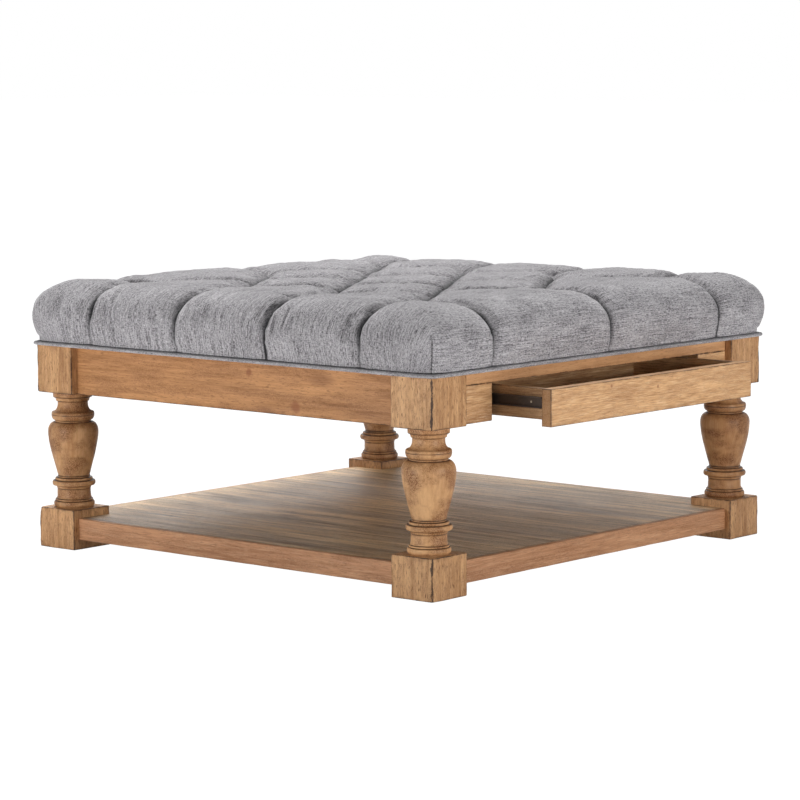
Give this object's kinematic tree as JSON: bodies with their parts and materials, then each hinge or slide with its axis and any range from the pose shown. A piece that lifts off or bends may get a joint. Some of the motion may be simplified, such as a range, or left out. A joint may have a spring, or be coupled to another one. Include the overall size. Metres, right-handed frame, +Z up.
{
  "type": "ottoman coffee table",
  "caption": "Square coffee table with a tufted upholstered top, turned baluster legs, a low plank shelf and a drawer in the front apron.",
  "frame": {"origin": "on the floor, under the middle of the square frame", "axes": "+Z up; the drawer opens towards -Y, and +X is to the right of someone facing the drawer front"},
  "size_m": [0.9784, 1.0652, 0.4865],
  "materials": {
    "leg_wood": "brushed, warm brown stain with darker worn edges",
    "apron_wood": "brushed, warm brown stain",
    "shelf_boards": "deeply brushed, grey-brown stain",
    "drawer_wood": "satin",
    "plain_wood": "sawn, unfinished",
    "plywood": "matte",
    "cover_fabric": "heathered linen weave",
    "tufting_tape": "woven polyester",
    "black_steel": "satin black",
    "zinc_fasteners": "zinc plated"
  },
  "bodies": {
    "table": {"leg_front_left": "leg_wood", "leg_front_right": "leg_wood", "leg_back_left": "leg_wood", "leg_back_right": "leg_wood", "apron_left": "apron_wood", "apron_right": "apron_wood", "apron_back": "apron_wood", "front_top_rail": "apron_wood", "front_stile_left": "apron_wood", "front_stile_right": "apron_wood", "corner_blocks": "plain_wood", "hanger_bolts": "zinc_fasteners", "hanger_washers": "zinc_fasteners", "hanger_nuts": "zinc_fasteners", "deck_screws": "zinc_fasteners", "slide_board_left": "plain_wood", "slide_board_right": "plain_wood", "slide_outer_left": "black_steel", "slide_outer_right": "black_steel", "slide_board_screws": "zinc_fasteners", "shelf_rail_front": "apron_wood", "shelf_rail_back": "apron_wood", "shelf_rail_left": "apron_wood", "shelf_rail_right": "apron_wood", "shelf_plank_1": "shelf_boards", "shelf_plank_2": "shelf_boards", "shelf_plank_3": "shelf_boards", "shelf_plank_4": "shelf_boards", "shelf_plank_5": "shelf_boards", "shelf_plank_6": "shelf_boards", "shelf_plank_7": "shelf_boards", "shelf_plank_8": "shelf_boards", "shelf_batten_front": "plain_wood", "shelf_batten_inner_front": "plain_wood", "shelf_batten_inner_back": "plain_wood", "shelf_batten_back": "plain_wood", "shelf_screws": "zinc_fasteners", "seat_deck": "plywood", "tuft_ties": "tufting_tape", "welt": "cover_fabric", "seat_pad": "cover_fabric"},
    "drawer": {"drawer_front": "apron_wood", "drawer_side_left": "drawer_wood", "drawer_side_right": "drawer_wood", "drawer_back": "drawer_wood", "drawer_bottom": "plywood", "drawer_dowels": "plain_wood", "slide_inner_left": "black_steel", "slide_inner_right": "black_steel", "slide_drawer_screws": "zinc_fasteners"},
    "slide_cages": {"slide_cage_left": "black_steel", "slide_cage_right": "black_steel"}
  },
  "joints": [
    {"name": "drawer_slide", "type": "slide", "parent": "table", "child": "drawer", "axis": [0, -1, 0], "range_m": [-0.121, 0.065]},
    {"name": "cage_slide", "type": "slide", "parent": "table", "child": "slide_cages", "axis": [0, -1, 0], "range_m": [-0.0605, 0.0325]}
  ],
  "couplings": [
    {"joint": "cage_slide", "follows": "drawer_slide", "ratio": 0.5}
  ]
}
